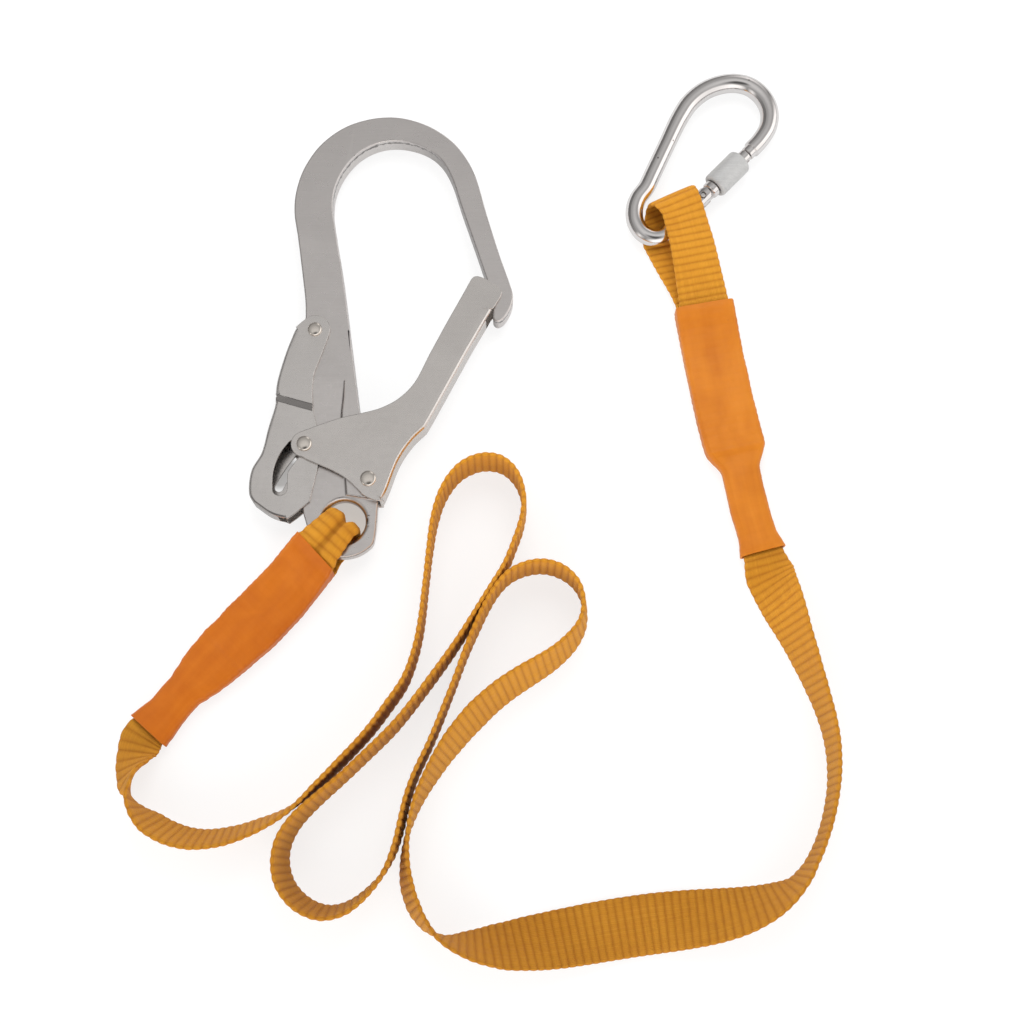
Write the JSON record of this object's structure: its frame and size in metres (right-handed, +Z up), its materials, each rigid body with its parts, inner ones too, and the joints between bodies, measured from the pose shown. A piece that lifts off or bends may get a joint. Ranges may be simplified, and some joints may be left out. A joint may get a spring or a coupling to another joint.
{
  "type": "fall-arrest lanyard",
  "caption": "Safety lanyard of ribbed webbing with a large double-action scaffold hook on one end and a screw-gate carabiner on the other, both sewn loops held in plastic sleeves.",
  "frame": {"origin": "centre of the bounding box, on the plane the lanyard lies on", "axes": "+Z up from the plane the lanyard lies on, +Y from the bottom of the S-shaped strap towards the open bow of the scaffold hook, +X from the hook towards the carabiner"},
  "size_m": [0.3082, 0.4138, 0.0251],
  "materials": {
    "hook_steel": "satin",
    "lever_steel": "satin",
    "gate_steel": "satin",
    "rivet_steel": "polished",
    "spring_steel": "satin",
    "carabiner_steel": "polished",
    "screw_sleeve_steel": "fine knurl, matte",
    "pin_steel": "polished",
    "webbing": "ribbed woven webbing",
    "sleeve_plastic": "satin shrink tube",
    "thread": "zigzag stitching"
  },
  "bodies": {
    "strap": {"webbing_strap": "webbing", "hook_end_sleeve": "sleeve_plastic", "carabiner_end_sleeve": "sleeve_plastic", "hook_bartack_1": "thread", "hook_bartack_2": "thread", "hook_bartack_3": "thread", "carabiner_bartack_1": "thread", "carabiner_bartack_2": "thread", "carabiner_bartack_3": "thread"},
    "hook": {"hook_body": "hook_steel", "gate_pivot_rivet": "rivet_steel", "lever_pivot_rivet": "rivet_steel", "gate_spring": "spring_steel", "lever_spring": "spring_steel"},
    "gate": {"hook_gate": "gate_steel", "cam_pin_rivet": "rivet_steel"},
    "lever": {"lock_lever": "lever_steel"},
    "carabiner": {"carabiner_body": "carabiner_steel", "carabiner_hinge_pin": "pin_steel", "gate_plunger": "pin_steel", "plunger_spring": "spring_steel"},
    "carabiner_gate_arm": {"carabiner_gate": "carabiner_steel", "carabiner_latch_pin": "pin_steel"},
    "lock_sleeve": {"screw_sleeve": "screw_sleeve_steel"}
  },
  "joints": [
    {"name": "hook_swing", "type": "hinge", "parent": "strap", "child": "hook", "pos_m": [-0.05773, -0.01594, 0.0081], "axis": [0, 0, 1], "range_deg": [-24, 4]},
    {"name": "gate_open", "type": "hinge", "parent": "hook", "child": "gate", "pos_m": [-0.04723, 0.00256, 0.0081], "axis": [0, 0, 1], "range_deg": [0, 33]},
    {"name": "lever_press", "type": "hinge", "parent": "hook", "child": "lever", "pos_m": [-0.07323, 0.07346, 0.0081], "axis": [0, 0, 1], "range_deg": [0, 6.1]},
    {"name": "carabiner_swing", "type": "hinge", "parent": "strap", "child": "carabiner", "pos_m": [0.09647, 0.13266, 0.007], "axis": [0, 0, 1], "range_deg": [-20, 1.5]},
    {"name": "carabiner_gate_open", "type": "hinge", "parent": "carabiner", "child": "carabiner_gate_arm", "pos_m": [0.10587, 0.14186, 0.007], "axis": [0, 0, 1], "range_deg": [0, 25]},
    {"name": "sleeve_travel", "type": "slide", "parent": "carabiner_gate_arm", "child": "lock_sleeve", "axis": [-0.69, -0.7238, 0], "range_m": [-0.0074, 0]}
  ],
  "couplings": [
    {"joint": "lever_press", "follows": "gate_open", "ratio": 0.18182}
  ]
}
